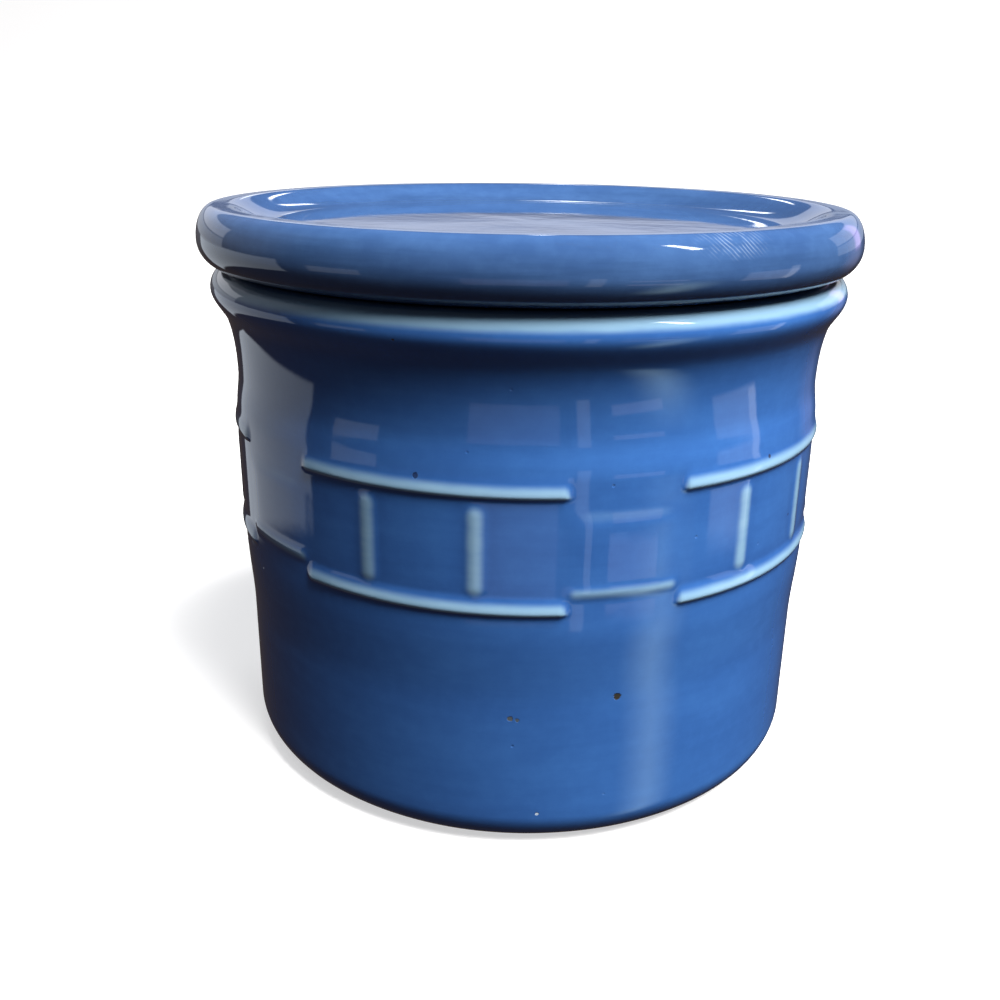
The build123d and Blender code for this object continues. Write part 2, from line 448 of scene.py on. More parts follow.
@dataclass(frozen=True)
class Turning:
    """Turns an outline into a closed mesh, with an optional woven band, in one Geometry Nodes tree."""

    columns: int
    band: WovenBand | None = None
    wobble: HandWobble = HandWobble()
    grading: float = 0.5
    weld: float = 0.01 * MM

    def tree(self, name: str, rows: int, material: bpy.types.Material) -> bpy.types.NodeTree:
        """Builds the tree.

        Args:
            name: The tree's name.
            rows: The outline's number of points.
            material: What the mesh is finished in.

        Returns:
            The finished tree, with named inputs.
        """
        drift = self.band.hand_drift if self.band else 0.0
        inputs = {
            "Outline": (MESH, None), "Columns": (WHOLE, self.columns), "Rows": (WHOLE, rows),
            "Column Grading": (NUMBER, self.grading), "Hand Drift": (NUMBER, drift),
            "Swell": (NUMBER, self.wobble.swell), "Ripple": (NUMBER, self.wobble.ripple),
            "Weld": (NUMBER, self.weld),
        }
        w, get, put = new_group(name, "GeometryNodeTree", inputs, {"Form": MESH})
        sheet = w.add("MeshGrid", {"Vertices X": w.plus(get["Columns"], 1.0), "Vertices Y": get["Rows"]})
        spot = w.add("ShaderNodeSeparateXYZ", {0: w.add("InputPosition").outputs[0]})
        share = w.plus(spot.outputs[0], 0.5)
        last_row = w.minus(get["Rows"], 1.0)
        row = w.math("ROUND", w.times(w.plus(spot.outputs[1], 0.5), last_row))

        even = w.times(share, math.tau)
        beats = 4.0 * (self.band.panels if self.band else 1)
        start = math.radians(self.band.panel_start) if self.band else 0.0
        phase = w.times(w.minus(even, start), beats)
        graded = w.times(w.math("SINE", phase), w.math("DIVIDE", get["Column Grading"], beats))
        pattern_angle = w.minus(even, graded)
        drift = w.times(w.math("SINE", pattern_angle), get["Hand Drift"])
        angle = w.minus(pattern_angle, drift)

        point = w.add("SampleIndex", {"Geometry": get["Outline"], "Value": w.add("InputPosition").outputs[0],
                                      "Index": row}, data_type="FLOAT_VECTOR")
        section = w.add("ShaderNodeSeparateXYZ", {0: point.outputs[0]})
        radius, height = section.outputs[0], section.outputs[2]
        masks = {mask: self._sample(w, get["Outline"], row, mask) for mask in Mask}
        if self.band:
            weave = w.add("Group", {"Angle": pattern_angle, "Height": height}, node_tree=self.band.tree())
            on_band = masks[Mask.RELIEF]
            radius = w.math("MULTIPLY_ADD", weave.outputs["Relief"], on_band, radius)
            for mask, output in ((Mask.THIN, "Thin"), (Mask.POOLED, "Pooled")):
                worked = w.times(weave.outputs[output], on_band)
                masks[mask] = w.math("MAXIMUM", masks[mask], worked)
        x = w.times(radius, w.math("SINE", angle))
        y = w.times(w.times(radius, w.math("COSINE", angle)), -1.0)
        place = w.add("ShaderNodeCombineXYZ", {0: x, 1: y, 2: height}).outputs[0]

        body = sheet.outputs["Mesh"]
        for mask, value in masks.items():
            body = w.add("StoreNamedAttribute", {"Geometry": body, "Name": mask.value, "Value": value},
                         data_type="FLOAT", domain="POINT").outputs[0]
        body = w.add("SetPosition", {"Geometry": body, "Position": place}).outputs[0]
        body = w.add("MergeByDistance", {"Geometry": body, "Distance": get["Weld"]}).outputs[0]
        body = w.add("SetPosition", {"Geometry": body, "Offset": self._stray(w, get)}).outputs[0]
        body = w.add("SetShadeSmooth", {"Geometry": body}).outputs[0]
        body = w.add("RealizeInstances", {"Geometry": body}).outputs[0]
        body = w.add("SetMaterial", {"Geometry": body, "Material": material}).outputs[0]
        w.feed(put["Form"], body)
        return w.tree

    @staticmethod
    def _sample(w: Wiring, outline: Socket, row: Socket, mask: Mask) -> Socket:
        """Reads a mask off the outline.

        Args:
            w: The wiring to add to.
            outline: The outline's geometry.
            row: Which of its points.
            mask: Which mask.

        Returns:
            Its value.
        """
        named = w.add("InputNamedAttribute", {"Name": mask.value}, data_type="FLOAT").outputs[0]
        node = w.add("SampleIndex", {"Geometry": outline, "Value": named, "Index": row}, data_type="FLOAT")
        return node.outputs[0]

    def _stray(self, w: Wiring, get: dict[str, Socket]) -> Socket:
        """Works out how far each point strays inwards.

        Args:
            w: The wiring to add to.
            get: The tree's inputs by name.

        Returns:
            The offset, along the point's normal.
        """
        place = w.add("InputPosition").outputs[0]
        swell = w.noise(place, self.wobble.swells_per_metre, detail=1.0)
        ripple = w.noise(place, self.wobble.ripples_per_metre, detail=1.0)
        depth = w.times(swell, get["Swell"])
        depth = w.math("MULTIPLY_ADD", ripple, get["Ripple"], depth)
        inwards = w.times(depth, -1.0)
        normal = w.add("InputNormal").outputs[0]
        return w.add("ShaderNodeVectorMath", {0: normal, "Scale": inwards}, operation="SCALE").outputs[0]

    def make(self, name: str, outline: Outline, material: bpy.types.Material) -> bpy.types.Object:
        """Turns the outline into a plain mesh object at the origin.

        Args:
            name: The piece's name.
            outline: Its half section, from the axis below to the axis above.
            material: What the mesh is finished in.

        Returns:
            The finished piece.
        """
        blank = put_in_scene(name + "_outline", outline.mesh(name + "_outline"))
        modifier = blank.modifiers.new("turning", "NODES")
        modifier.node_group = self.tree(name + "_turning", len(outline.points), material)
        for item in modifier.node_group.interface.items_tree:
            if item.item_type == "SOCKET" and item.in_out == "INPUT" and item.name == "Columns":
                modifier[item.identifier] = self.columns
        graph = bpy.context.evaluated_depsgraph_get()
        mesh = bpy.data.meshes.new_from_object(blank.evaluated_get(graph), depsgraph=graph)
        mesh.name = name
        blank.modifiers.remove(modifier)
        bpy.data.objects.remove(blank)
        return put_in_scene(name, mesh)


# ---------------------------------------------------------------- finishes


DRAWN = (1.0, 1.0, 3.5)  # cloudy patches, drawn out round the pot
PULLED = (1.0, 1.0, 14.0)  # the brush's long streaks
FLAT = (1.0, 1.0, 2.8)  # a rubbed patch that is wider than it is high
SLANT = (0.62, 0.28, 0.73)  # across the scratches
SCRATCH_PITCH = 0.5 * MM


class Effects:
    """The shader groups that both glazes share, each built once."""

    def __init__(self) -> None:
        """Builds every group."""
        self.tone = self._tone()
        self.specks = self._specks()
        self.blemish = self._blemish()
        self.skin = self._skin()
        self.scuff = self._scuff()
        self.clay = self._clay()

    @staticmethod
    def _tone() -> bpy.types.NodeTree:
        """Builds the glaze's colour: cloudy where even, pale over an edge, deep where it pools. On the rim's
        top the pale edge is partly a painted highlight.

        Returns:
            The group, with its Colour.
        """
        inputs = {"Place": (PLACE, None), "Thin": (NUMBER, 0.0), "Pooled": (NUMBER, 0.0),
                  "Streak": (NUMBER, 0.1), "Body": (COLOUR, None), "Cloud": (COLOUR, None),
                  "Edge": (COLOUR, None), "Deep": (COLOUR, None)}
        w, get, put = new_group("glaze_tone", "ShaderNodeTree", inputs, {"Colour": COLOUR})
        drawn = w.vector("MULTIPLY", get["Place"], DRAWN)
        cloud = w.ramp(w.noise(drawn, 30.0, detail=4.0, roughness=0.6), 0.38, 0.68)
        mottle = w.ramp(w.noise(get["Place"], 420.0, detail=3.0, roughness=0.65), 0.35, 0.75, 0.0, 0.35)
        colour = w.mix(w.math("ADD", w.times(cloud, 0.6), mottle, clamp=True), get["Body"], get["Cloud"])
        pulled = w.vector("MULTIPLY", get["Place"], PULLED)
        streak = w.ramp(w.noise(pulled, 42.0, detail=5.0, roughness=0.62), 0.40, 0.72)
        colour = w.mix(w.times(streak, get["Streak"]), colour, get["Deep"])
        colour = w.mix(w.times(get["Pooled"], 0.5), colour, get["Deep"])
        ragged = w.times(w.minus(w.noise(drawn, 190.0), 0.5), 0.40)
        worn = w.plus(get["Thin"], w.times(ragged, get["Thin"]))
        w.feed(put["Colour"], w.mix(w.ramp(worn, 0.12, 0.95), colour, get["Edge"]))
        return w.tree

    @staticmethod
    def _specks() -> bpy.types.NodeTree:
        """Builds scattered specks.

        Returns:
            The group, whose Mask is 1 in a speck.
        """
        inputs = {"Place": (PLACE, None), "Per Metre": (NUMBER, 160.0), "Share": (NUMBER, 0.05),
                  "Size": (NUMBER, 0.16)}
        w, get, put = new_group("iron_specks", "ShaderNodeTree", inputs, {"Mask": NUMBER})
        cells = w.add("TexVoronoi", {"Vector": get["Place"], "Scale": get["Per Metre"]}, feature="F1")
        pick = w.add("SeparateColor", {0: cells.outputs["Color"]})
        chosen = w.math("LESS_THAN", pick.outputs[0], get["Share"])
        reach = w.times(get["Size"], w.math("MULTIPLY_ADD", pick.outputs[1], 0.8, 0.3))
        near = w.ramp(cells.outputs["Distance"], w.times(reach, 0.55), reach, 1.0, 0.0)
        w.feed(put["Mask"], w.times(chosen, near))
        return w.tree

    @staticmethod
    def _blemish() -> bpy.types.NodeTree:
        """Builds one ragged spot at a stated place.

        Returns:
            The group, whose Mask is 1 in the spot.
        """
        inputs = {"Place": (PLACE, None), "Spot": (PLACE, None), "Radius": (NUMBER, 0.0005)}
        w, get, put = new_group("blemish", "ShaderNodeTree", inputs, {"Mask": NUMBER})
        apart = w.vector("DISTANCE", get["Place"], get["Spot"], "Value")
        ragged = w.math("MULTIPLY_ADD", w.noise(get["Place"], 2600.0), 1.1, 0.45)
        near = w.math("DIVIDE", w.math("DIVIDE", apart, get["Radius"]), ragged)
        w.feed(put["Mask"], w.ramp(near, 0.8, 1.1, 1.0, 0.0))
        return w.tree

    @staticmethod
    def _skin() -> bpy.types.NodeTree:
        """Builds the glaze's own surface of orange peel and pinholes.

        Returns:
            The group, whose Height is in metres.
        """
        inputs = {"Place": (PLACE, None), "Peel": (NUMBER, 0.006 * MM), "Pin": (NUMBER, 0.05 * MM)}
        w, get, put = new_group("glaze_skin", "ShaderNodeTree", inputs, {"Height": NUMBER})
        peel = w.times(w.noise(get["Place"], 330.0), get["Peel"])
        cells = w.add("TexVoronoi", {"Vector": get["Place"], "Scale": 210.0}, feature="F1")
        pick = w.add("SeparateColor", {0: cells.outputs["Color"]})
        chosen = w.math("LESS_THAN", pick.outputs[2], 0.10)
        hole = w.times(chosen, w.ramp(cells.outputs["Distance"], 0.02, 0.07, 1.0, 0.0))
        w.feed(put["Height"], w.minus(peel, w.times(hole, get["Pin"])))
        return w.tree

    @staticmethod
    def _scuff() -> bpy.types.NodeTree:
        """Builds a rubbed patch of fine slanting scratches at a stated place.

        Returns:
            The group, whose Mask is 1 in a scratch.
        """
        inputs = {"Place": (PLACE, None), "Spot": (PLACE, None), "Radius": (NUMBER, 1.0 * MM),
                  "Slant": (PLACE, None)}
        w, get, put = new_group("rubbed_patch", "ShaderNodeTree", inputs, {"Mask": NUMBER})
        away = w.vector("MULTIPLY", w.vector("SUBTRACT", get["Place"], get["Spot"]), FLAT)
        apart = w.vector("LENGTH", away, give="Value")
        patch = w.ramp(w.math("DIVIDE", apart, get["Radius"]), 0.3, 1.0, 1.0, 0.0)
        along = w.vector("DOT_PRODUCT", get["Place"], get["Slant"], "Value")
        stray = w.times(w.noise(get["Place"], 260.0), 9.0)
        stroke = w.math("SINE", w.math("MULTIPLY_ADD", along, math.tau / SCRATCH_PITCH, stray))
        scratch = w.times(patch, w.ramp(stroke, 0.1, 0.95))
        w.feed(put["Mask"], w.times(scratch, w.ramp(w.noise(get["Place"], 520.0), 0.35, 0.6)))
        return w.tree

    @staticmethod
    def _clay() -> bpy.types.NodeTree:
        """Builds bare fired clay.

        Returns:
            The group, with its Colour and its grain's Height in metres.
        """
        inputs = {"Place": (PLACE, None), "Light": (COLOUR, None), "Dark": (COLOUR, None)}
        outputs = {"Colour": COLOUR, "Height": NUMBER}
        w, get, put = new_group("bare_clay_body", "ShaderNodeTree", inputs, outputs)
        grain = w.noise(get["Place"], 1500.0, detail=4.0, roughness=0.7)
        stain = w.ramp(w.noise(get["Place"], 70.0, detail=3.0), 0.35, 0.7)
        dots = w.ramp(grain, 0.56, 0.70)
        shade = w.math("MULTIPLY_ADD", dots, 0.55, w.times(stain, 0.4), clamp=True)
        w.feed(put["Colour"], w.mix(shade, get["Light"], get["Dark"]))
        w.feed(put["Height"], w.times(grain, 0.05 * MM))
        return w.tree


@dataclass(frozen=True)
class Spot:
    """A mark of its own: where it is on the surface, its radius, its colour and how deep it is."""

    place: Point
    radius: float
    colour: Colour
    depth: float


@dataclass(frozen=True)
class Glaze:
    """A deep blue glossy glaze over pale stoneware, broken thin over edges. A share runs from 0 to 1."""

    name: str
    body: Colour = (0.022, 0.081, 0.256)
    cloud: Colour = (0.029, 0.103, 0.304)
    edge: Colour = (0.165, 0.285, 0.400)
    deep: Colour = (0.010, 0.040, 0.160)
    streak: float = 0.10
    gloss_index: float = 1.52
    roughness: float = 0.035
    smear: float = 0.03
    speck: Colour = (0.020, 0.013, 0.010)
    speck_share: float = 0.8
    pin: Colour = (0.30, 0.36, 0.42)
    pins_per_metre: float = 95.0
    pin_share: float = 0.07
    pin_size: float = 0.022
    clay_light: Colour = (0.62, 0.55, 0.45)
    clay_dark: Colour = (0.40, 0.32, 0.23)
    clay_roughness: float = 0.82
    clay_edge: Pair = (0.42, 0.58)
    clay_fray: float = 0.5
    spots: tuple[Spot, ...] = ()
    scuff: Colour = (0.30, 0.36, 0.46)
    scuff_share: float = 0.26
    scuff_roughness: float = 0.2
    scuff_place: Point = (0.0, 0.0, 0.0)
    scuff_radius: float = 0.0

    def material(self, effects: Effects) -> bpy.types.Material:
        """Builds the material.

        Args:
            effects: The shared shader groups.

        Returns:
            The finished material.
        """
        made = bpy.data.materials.new(self.name)
        w = blank_nodes(made)
        place = w.add("TexCoord").outputs["Object"]
        masks = {mask: w.add("Attribute", attribute_name=mask.value).outputs["Fac"] for mask in Mask}

        tone = w.add("Group", {"Place": place, "Thin": masks[Mask.THIN], "Pooled": masks[Mask.POOLED],
                               "Body": self.body, "Cloud": self.cloud, "Edge": self.edge, "Deep": self.deep,
                               "Streak": self.streak}, node_tree=effects.tone)
        specks = w.add("Group", {"Place": place}, node_tree=effects.specks)
        colour = w.mix(w.times(specks.outputs[0], self.speck_share), tone.outputs[0], self.speck)
        pins = w.add("Group", {"Place": place, "Per Metre": self.pins_per_metre, "Share": self.pin_share,
                               "Size": self.pin_size}, node_tree=effects.specks)
        colour = w.mix(w.times(pins.outputs[0], self.speck_share), colour, self.pin)

        height = w.add("Group", {"Place": place}, node_tree=effects.skin).outputs["Height"]
        for spot in self.spots:
            mark = w.add("Group", {"Place": place, "Spot": spot.place, "Radius": spot.radius},
                         node_tree=effects.blemish).outputs[0]
            colour = w.mix(mark, colour, spot.colour)
            height = w.minus(height, w.times(mark, spot.depth))

        rubbed: Value = 0.0
        if self.scuff_radius > 0.0:
            rubbed = w.add("Group", {"Place": place, "Spot": self.scuff_place, "Radius": self.scuff_radius,
                                     "Slant": SLANT}, node_tree=effects.scuff).outputs[0]
            colour = w.mix(w.times(rubbed, self.scuff_share), colour, self.scuff)

        clay = w.add("Group", {"Place": place, "Light": self.clay_light, "Dark": self.clay_dark},
                     node_tree=effects.clay)
        fray = w.times(w.minus(w.noise(place, 500.0), 0.5), self.clay_fray)
        bare = w.ramp(w.plus(masks[Mask.BARE], fray), *self.clay_edge)
        colour = w.mix(bare, colour, clay.outputs["Colour"])
        height = w.blend(bare, height, clay.outputs["Height"])

        smear = w.ramp(w.noise(place, 48.0, detail=3.0), 0.45, 0.75, 0.0, self.smear)
        rough = w.plus(self.roughness, w.math("MULTIPLY_ADD", rubbed, self.scuff_roughness, smear))
        rough = w.blend(bare, rough, self.clay_roughness)
        bump = w.add("Bump", {"Height": height, "Distance": 1.0, "Strength": 1.0})
        shader = w.add("BsdfPrincipled", {"Base Color": colour, "Roughness": rough, "IOR": self.gloss_index,
                                          "Normal": bump.outputs[0]})
        w.feed(w.add("OutputMaterial").inputs[0], shader.outputs[0])
        return made


# ---------------------------------------------------------------- the pieces

FLAT_SHARES = (0.0, 0.08, 0.3, 0.55, 0.8)  # how far out a flat disc's rings of points lie


@dataclass
class Crock:
    """The pot: foot, wall, woven band, neck, rolled rim, and the smooth inside."""

    band: WovenBand = field(default_factory=WovenBand)
    wall_radius: float = 51.7 * MM
    wall: float = 5.2 * MM
    base_corner: float = 6.0 * MM
    foot_ring: float = 3.0 * MM
    foot_recess: float = 1.6 * MM
    floor: float = 6.5 * MM
    inner_corner: float = 8.0 * MM
    neck_drop: float = 17.8 * MM
    neck_radius: float = 51.8 * MM
    neck_pull: float = 7.0 * MM
    roll_drop: float = 8.5 * MM
    roll_radius: float = 52.9 * MM
    roll_leave: Pair = (0.0, 9.0 * MM)
    roll_arrive: Pair = (2.6 * MM, 8.6 * MM)
    rim_leave: Pair = (1.8 * MM, 5.4 * MM)
    rim_arrive: Pair = (0.0, 5.4 * MM)
    rim_round: float = 3.4 * MM
    mouth_round: float = 1.8 * MM
    swell_below: float = 2.5 * MM
    swell_drop: float = 14.0 * MM
    swell_pull: float = 12.0 * MM
    under_line: float = 1.5 * MM
    over_line: float = 2.1 * MM
    rim_step: int = 7
    # How pale the glaze is over the rim's round, by angle: partly thin glaze, partly a painted highlight,
    # strongest on the faces that look up and out.
    rim_wear_and_highlight: tuple[tuple[int, int, float], ...] = (
        (0, 8, 0.15), (8, 16, 0.45), (16, 24, 0.75), (24, 60, 0.95), (60, 90, 0.6))
    columns: int = 520

    def outline(self) -> Outline:
        """Draws the half section, from the middle of the foot's recess round to the inside floor's.

        Returns:
            The closed outline.
        """
        _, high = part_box("crock")
        rim_r, rim_z = high.x, high.z
        foot_out = self.wall_radius - self.base_corner
        foot_in = foot_out - self.foot_ring
        recess_in = foot_in - self.foot_recess
        line = Outline()
        line.add(0.0, self.foot_recess)
        for share in FLAT_SHARES[1:]:
            line.add(recess_in * share, self.foot_recess)
        line.line((recess_in, self.foot_recess), 4.0 * MM)
        line.line((foot_in, 0.0), 0.6 * MM, bare=0.6)
        line.line((foot_out, 0.0), 0.75 * MM, bare=1.0)
        corner = (foot_out, self.base_corner)
        line.round(corner, (self.base_corner, self.base_corner), (-90, -76), 3, bare=0.7)
        line.round(corner, (self.base_corner, self.base_corner), (-74, 0), 13)
        self._outside(line, rim_r, rim_z)
        self._inside(line, rim_z)
        return line

    def _outside(self, line: Outline, rim_r: float, rim_z: float) -> None:
        """Goes up the outside, from the base corner to the rim's land.

        Args:
            line: The outline so far.
            rim_r: The rim's radius.
            rim_z: The rim's height.
        """
        band = self.band
        low = band.line_bottom - self.swell_below
        line.line((self.wall_radius, low - self.swell_drop), 2.0 * MM)
        line.sweep((band.radius, low), (0, self.swell_pull), (0, self.swell_pull), 12)
        for top, step in (
            (band.line_bottom - self.under_line, 0.4), (band.line_bottom + self.over_line, 0.27),
            (band.splint_bottom + 2.0 * MM, 0.3), (band.splint_top - 1.5 * MM, 0.62),
            (band.line_top - self.under_line, 0.5), (band.line_top + self.over_line, 0.27),
        ):
            line.line((band.radius, top), step * MM, relief=1.0)
        line.sweep((self.neck_radius, rim_z - self.neck_drop), (0, self.neck_pull), (0, self.neck_pull), 8)
        line.sweep((self.roll_radius, rim_z - self.roll_drop), self.roll_leave, self.roll_arrive, 9)
        shoulder = rim_z - self.rim_round
        line.sweep((rim_r, shoulder), self.rim_leave, self.rim_arrive, 9)
        centre, size = (rim_r - self.rim_round, shoulder), (self.rim_round, self.rim_round)
        # Paints the rim's round pale by angle: thin glaze with a painted highlight on top.
        for start, end, thin in self.rim_wear_and_highlight:
            count = max(1, (end - start) // self.rim_step)
            line.round(centre, size, (start, end), count, thin=thin)

    def _inside(self, line: Outline, rim_z: float) -> None:
        """Goes over the rim's land, down the inside and across the floor.

        Args:
            line: The outline so far.
            rim_z: The rim's height.
        """
        bore = self.band.radius - self.wall
        lip, cove = self.mouth_round, self.inner_corner
        line.line((bore + lip, rim_z), 1.0 * MM)
        line.round((bore + lip, rim_z - lip), (lip, lip), (90, 180), 7)
        line.line((bore, self.floor + cove), 5.0 * MM)
        line.round((bore - cove, self.floor + cove), (cove, cove), (0, -90), 9)
        for share in reversed(FLAT_SHARES):
            line.add((bore - cove) * share, self.floor)

    def spots(self) -> tuple[Spot, ...]:
        """Places the few marks that this pot has of its own, and one painted glint.

        Returns:
            The specks and chips on its front, and a pinhole whose pale colour is a painted glint.
        """
        wall = self.wall_radius
        brown = (0.026, 0.024, 0.020)
        return (
            Spot(on_wall(17.1, wall, 27.3 * MM), 0.62 * MM, brown, 0.12 * MM),
            Spot(on_wall(-1.4, wall, 24.2 * MM), 0.45 * MM, (0.06, 0.07, 0.08), 0.05 * MM),
            Spot(on_wall(-0.2, wall, 24.0 * MM), 0.35 * MM, (0.05, 0.07, 0.10), 0.05 * MM),
            # A pinhole, its pale colour a painted glint.
            Spot(on_wall(3.6, wall, 6.8 * MM), 0.30 * MM, (0.35, 0.42, 0.50), 0.08 * MM),
            Spot(on_wall(-17.1, self.band.radius, 62.9 * MM), 0.45 * MM, (0.012, 0.03, 0.09), 0.10 * MM),
            Spot(on_wall(-18.9, 55.3 * MM, 82.8 * MM), 0.30 * MM, brown, 0.04 * MM),
        )

    def build(self, effects: Effects) -> bpy.types.Object:
        """Makes the pot, rides it on its body and stands it for its CAD node.

        Args:
            effects: The shared shader groups.

        Returns:
            The finished piece.
        """
        glaze = Glaze("crock_glaze", spots=self.spots())
        turning = Turning(self.columns, band=self.band)
        piece = turning.make("crock_pot", self.outline(), glaze.material(effects))
        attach(piece, "crock")
        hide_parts("crock")
        return piece


@dataclass
class Lid:
    """The dished lid: locating ring, seat, thick rounded rim and shallow dish."""

    seat_height: float = 4.0 * MM
    edge_lift: float = 0.4 * MM
    wide_height: float = 4.6 * MM
    top_round: float = 3.1 * MM
    under_round: float = 3.7 * MM
    crest_in: float = 5.6 * MM
    slope_in: float = 9.7 * MM
    dish_in: float = 14.0 * MM
    dish_depth: float = 3.2 * MM
    slope_rise: float = 0.4
    crest_leave: Pair = (-3.2 * MM, 0.0)
    slope_arrive: Pair = (-3.0 * MM, -1.6 * MM)
    slope_leave: Pair = (-3.4 * MM, -1.8 * MM)
    dish_arrive: Pair = (-4.5 * MM, 0.0)
    slab: float = 5.2 * MM
    ring_outer: float = 46.0 * MM
    ring_wide: float = 4.0 * MM
    ring_round: float = 1.2 * MM
    seat_radius: float = 51.95 * MM
    recess_round: float = 1.5 * MM
    columns: int = 480

    def outline(self) -> Outline:
        """Draws the half section, from the middle of the underside round to the middle of the dish.

        Returns:
            The closed outline.
        """
        low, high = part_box("lid")
        radius, top = high.x, high.z
        seat = low.z + self.seat_height
        dish_z = top - self.dish_depth
        under = dish_z - self.slab
        ring_in = self.ring_outer - self.ring_wide
        edge_r = radius - self.under_round
        wide_z = seat + self.wide_height
        cove, toe = self.recess_round, self.ring_round
        line = Outline()
        for share in (*FLAT_SHARES, 1.0):
            line.add((ring_in - cove) * share, under)
        line.round((ring_in - cove, under - cove), (cove, cove), (90, 0), 6)
        line.line((ring_in, low.z + toe), 1.0 * MM)
        line.round((ring_in + toe, low.z + toe), (toe, toe), (180, 270), 6, bare=0.55)
        line.line((self.ring_outer - toe, low.z), 0.5 * MM, bare=1.0)
        line.round((self.ring_outer - toe, low.z + toe), (toe, toe), (-90, 0), 6, bare=0.55)
        line.line((self.ring_outer, seat), 1.0 * MM)
        line.line((self.seat_radius, seat), 1.0 * MM)
        line.line((edge_r, seat + self.edge_lift), 0.6 * MM)
        line.round((edge_r, wide_z), (self.under_round, self.wide_height - self.edge_lift), (-90, 0), 16)
        line.round((radius - self.top_round, wide_z), (self.top_round, top - wide_z), (0, 90), 20)
        crest = radius - self.crest_in
        line.line((crest, top), 0.7 * MM)
        slope_end = (radius - self.slope_in, dish_z + self.dish_depth * self.slope_rise)
        line.sweep(slope_end, self.crest_leave, self.slope_arrive, 10)
        line.sweep((radius - self.dish_in, dish_z), self.slope_leave, self.dish_arrive, 10)
        for share in (0.85, 0.7, 0.55, 0.4, 0.25, 0.12, 0.04, 0.0):
            line.add((radius - self.dish_in) * share, dish_z)
        return line

    def build(self, effects: Effects) -> bpy.types.Object:
        """Makes the lid, rides it on its body and stands it for its CAD node.

        Args:
            effects: The shared shader groups.

        Returns:
            The finished piece.
        """
        # Painted shade: the lid's glaze is the pot's blue glaze with darker body, cloud and deep colours.
        glaze = Glaze("lid_glaze", body=(0.021, 0.053, 0.140), cloud=(0.034, 0.080, 0.190),
                      deep=(0.012, 0.032, 0.085), streak=0.38,
                      scuff_place=on_wall(29.5, 55.9 * MM, 95.8 * MM), scuff_radius=7.5 * MM)
        turning = Turning(self.columns, grading=0.0)
        piece = turning.make("lid_cover", self.outline(), glaze.material(effects))
        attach(piece, "lid")
        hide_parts("lid")
        return piece


# ---------------------------------------------------------------- stage, light and camera


@dataclass(frozen=True)
class Softbox:
    """An area light that faces the crock. The glaze mirrors the glimpses of the room in its place."""

    name: str
    azimuth: float
    elevation: float
    distance: float
    width: float
    height: float
    watts: float
    colour: Colour
    aim: Point = (0.0, 0.0, 0.05)

    def build(self) -> bpy.types.Object:
        """Makes the light and turns it to its aim.

        Returns:
            The light.
        """
        light = bpy.data.lights.new(self.name, "AREA")
        light.shape = "RECTANGLE"
        light.size, light.size_y = self.width, self.height
        light.energy = self.watts
        light.color = self.colour
        lamp = put_in_scene(self.name, light)
        turn, lift = math.radians(self.azimuth), math.radians(self.elevation)
        away = Vector((math.sin(turn) * math.cos(lift), -math.cos(turn) * math.cos(lift), math.sin(lift)))
        aim = Vector(self.aim)
        facing = (-away).to_track_quat("-Z", "Y")
        lamp.matrix_world = Matrix.LocRotScale(aim + away * self.distance, facing, None)
        lamp.visible_camera = False
        lamp.visible_glossy = False
        return lamp


@dataclass(frozen=True)
class Glimpse:
    """Something that the glaze mirrors: where in the room, its half sizes and its soft edge, in degrees."""

    name: str
    azimuth: float
    elevation: float
    half_width: float
    half_height: float
    edge: float
    light: Colour

    def inputs(self) -> dict[str, Value]:
        """The patch group's inputs, by name."""
        rad = math.radians
        return {"Middle": rad(self.azimuth), "Height": rad(self.elevation), "Edge": rad(self.edge),
                "Half Width": rad(self.half_width), "Half Height": rad(self.half_height), "Light": self.light}


